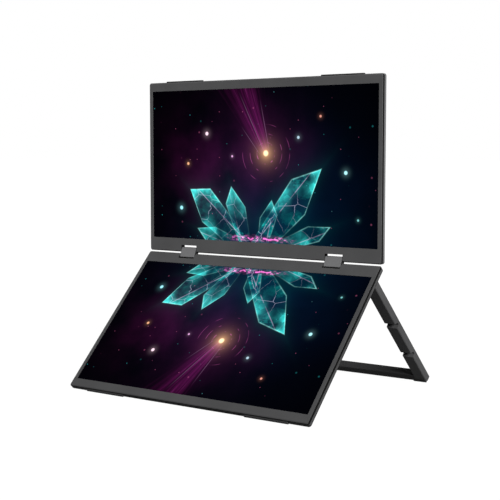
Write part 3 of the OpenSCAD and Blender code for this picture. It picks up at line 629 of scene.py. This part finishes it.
# ---------------------------------------------------------------- softened edges
# How wide the sharp edges of a node are rounded, in millimetres
EDGES = {
    "lower_bezel": 0.15, "upper_bezel": 0.15, "lower_rear_cover": 0.2, "upper_rear_cover": 0.2,
    "hinge_blocks": 0.3, "stand_frame": 0.3, "stand_foot_pads": 0.2, "lower_rubber_feet": 0.25,
    "upper_rubber_feet": 0.25,
}
ROUNDING_STEPS = 3
WELD_REACH = 0.02 * MM
FLAT_ANGLE = math.radians(0.5)  # faces that meet at less are made one
SHARP_ANGLE = math.radians(32)  # edges with more are rounded
SHADING_ANGLE = math.radians(40)  # edges with more stay sharp in the shading
LARGE_FACE = 4 * MM * MM  # faces above this size are shaded flat
OPENINGS = (2.4 * MM, 6.2 * MM)  # depths between which the openings in the side walls lie


def modify(piece, kind, **settings):
    modifier = piece.modifiers.new(kind.lower(), kind)
    for setting, value in settings.items():
        setattr(modifier, setting, value)


def applied(piece):
    """Gives the piece the mesh that its modifiers make, and takes them off."""
    bpy.context.view_layer.update()
    before = piece.data
    evaluated = piece.evaluated_get(bpy.context.evaluated_depsgraph_get())
    final = bpy.data.meshes.new_from_object(evaluated)
    piece.modifiers.clear()
    piece.data = final
    bpy.data.meshes.remove(before)


def in_side_wall(node, point):
    """Whether a point is on the rim of an opening in the side of a cover."""
    if not node.endswith("rear_cover") or abs(point.x) < SIDE_WALL:
        return False
    hinge_y, hinge_z, tilt = display_frame(node.startswith("lower"))
    depth = (point.y - hinge_y) * math.sin(tilt) - (point.z - hinge_z) * math.cos(tilt)
    return OPENINGS[0] < depth + HINGE_DEPTH < OPENINGS[1]


def mark_edges(node, mesh):
    """Marks the sharp edges for rounding, but not those of the openings in a cover's sides."""
    shape = bmesh.new()
    shape.from_mesh(mesh)
    weights = shape.edges.layers.float.new("bevel_weight_edge")
    for edge in shape.edges:
        sharp = len(edge.link_faces) == 2 and edge.calc_face_angle() > SHARP_ANGLE
        if sharp and not any(in_side_wall(node, corner.co) for corner in edge.verts):
            edge[weights] = 1
    shape.to_mesh(mesh)
    shape.free()


def shade_smoothly(piece):
    """Smooth shading that leaves the large flat faces flat."""
    piece.data.polygons.foreach_set("use_smooth", [True] * len(piece.data.polygons))
    piece.data.set_sharp_from_angle(angle=SHADING_ANGLE)
    modify(piece, "WEIGHTED_NORMAL", weight=100, keep_sharp=True)
    applied(piece)
    mesh = piece.data
    normals = [corner.vector.copy() for corner in mesh.corner_normals]
    for face in mesh.polygons:
        if face.area > LARGE_FACE:
            for corner in face.loop_indices:
                normals[corner] = face.normal.copy()
    mesh.normals_split_custom_set(normals)


def softened(node, width):
    """A copy of a node with its sharp edges rounded, which then stands for the node."""
    piece = bpy.data.objects.new(node + "_shell", nodes[node].data.copy())
    bpy.context.scene.collection.objects.link(piece)
    modify(piece, "WELD", merge_threshold=WELD_REACH)
    modify(piece, "DECIMATE", decimate_type="DISSOLVE", angle_limit=FLAT_ANGLE)
    applied(piece)
    mark_edges(node, piece.data)
    modify(piece, "BEVEL", width=width * MM, segments=ROUNDING_STEPS, limit_method="WEIGHT",
           use_clamp_overlap=False)
    applied(piece)
    shade_smoothly(piece)
    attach(piece, node_body[node])
    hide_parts(node)


for node, width in EDGES.items():
    softened(node, width)


# ---------------------------------------------------------------- studio
KEY_TOWARDS = Vector((0.80, -0.43, 0.42))
BACK_TOWARDS = Vector((-0.55, 0.72, 0.42))
SIDE_AT = Vector((1.3, 0.03, 0.4))
SIDE_AIM = Vector((0.178, 0.012, 0.29))
FLOOR_HALF = 30
FLOOR_BELOW = 0.2 * MM
FLOOR_GLOW = 0.95
AMBIENT = 0.18


def lamp(name, kind, at, direction, **settings):
    """A light at a place, shining along the direction."""
    data = bpy.data.lights.new(name, kind)
    for setting, value in settings.items():
        setattr(data, setting, value)
    light = bpy.data.objects.new(name, data)
    bpy.context.scene.collection.objects.link(light)
    light.location = at
    light.rotation_euler = direction.to_track_quat("-Z", "Y").to_euler()


def seen_directly(tree):
    """1 for what the camera sees, straight or by a mirror or through glass."""
    path = tree.nodes.new("ShaderNodeLightPath")
    camera_ray, glossy_ray, transmission_ray = (
        Maths(tree, path.outputs[name])
        for name in ("Is Camera Ray", "Is Glossy Ray", "Is Transmission Ray"))
    return (camera_ray + glossy_ray + transmission_ray).clamp()


lamp("key", "SUN", (0, 0, 0), -KEY_TOWARDS, energy=5.1, angle=math.radians(20))
lamp("back", "SUN", (0, 0, 0), -BACK_TOWARDS, energy=2.2, angle=math.radians(30))
lamp("side", "SPOT", SIDE_AT, SIDE_AIM - SIDE_AT, energy=82, spot_size=math.radians(14),
     spot_blend=0.4, shadow_soft_size=0.05)

floor_mesh = bpy.data.meshes.new("floor")
turns = ((-1, -1), (1, -1), (1, 1), (-1, 1))
floor_corners = [(x * FLOOR_HALF, y * FLOOR_HALF, 0) for x, y in turns]
floor_mesh.from_pydata(floor_corners, [], [(0, 1, 2, 3)])
floor = bpy.data.objects.new("floor", floor_mesh)
floor.location.z = -FLOOR_BELOW
bpy.context.scene.collection.objects.link(floor)

floor_material, tree, shader = new_material("floor paper")
speckle = noise(tree, place(tree), 400, detail=3)
paper = mix_colours(tree, speckle, (0.08, 0.08, 0.08), (0.1, 0.1, 0.1))
tree.links.new(paper, shader.inputs["Base Color"])
set_inputs(shader, {"Roughness": 0.9, "Specular IOR Level": 0, "Emission Color": (1, 1, 1, 1)})
tree.links.new((seen_directly(tree) * FLOOR_GLOW).value, shader.inputs["Emission Strength"])
floor_mesh.materials.append(floor_material)

world = bpy.data.worlds.new("studio")
bpy.context.scene.world = world
world.use_nodes = True
tree = world.node_tree
background = tree.nodes["Background"]
set_inputs(background, {"Color": (1, 1, 1, 1)})
brightness = seen_directly(tree) * (1 - AMBIENT) + AMBIENT
tree.links.new(brightness.value, background.inputs["Strength"])

bpy.context.scene.view_settings.view_transform = "Standard"
